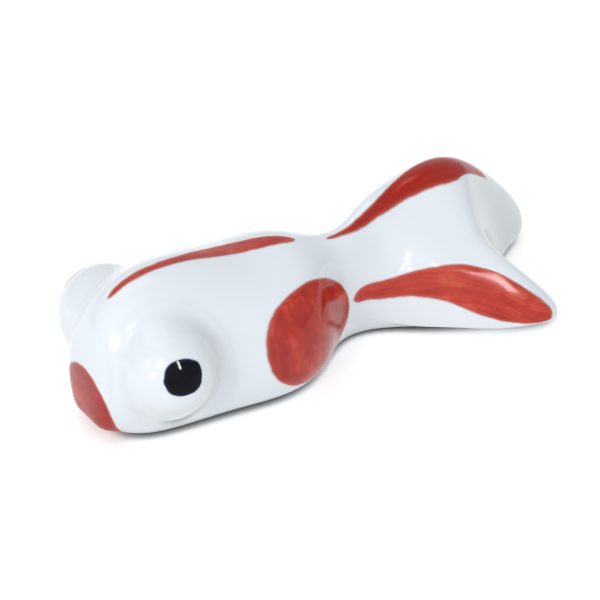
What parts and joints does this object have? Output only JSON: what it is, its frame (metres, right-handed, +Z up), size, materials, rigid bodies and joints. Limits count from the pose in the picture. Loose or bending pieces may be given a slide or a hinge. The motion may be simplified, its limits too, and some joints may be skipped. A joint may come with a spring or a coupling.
{
  "type": "chopstick rest",
  "caption": "Small white porcelain chopstick rest in the shape of a goldfish with bulging eyes and red markings; the chopsticks lie across its narrow waist.",
  "frame": {"origin": "centre of the bounding box, on the flat base", "axes": "+X along the fish from its nose to its tail, +Z up from the base, -Y to the fish's left side"},
  "size_m": [0.0635, 0.0263, 0.0187],
  "materials": {
    "porcelain": "clear glossy glaze over cool white porcelain",
    "red_enamel": "glossy brushed iron red",
    "black_enamel": "glossy black"
  },
  "bodies": {
    "root": {"body": "porcelain", "left_eye": "porcelain", "right_eye": "porcelain", "left_pupil": "black_enamel", "right_pupil": "black_enamel", "mouth_patch": "red_enamel", "dorsal_stripe": "red_enamel", "left_flank_spot": "red_enamel", "right_flank_spot": "red_enamel", "left_tail_stripe": "red_enamel", "right_tail_stripe": "red_enamel"}
  },
  "joints": []
}
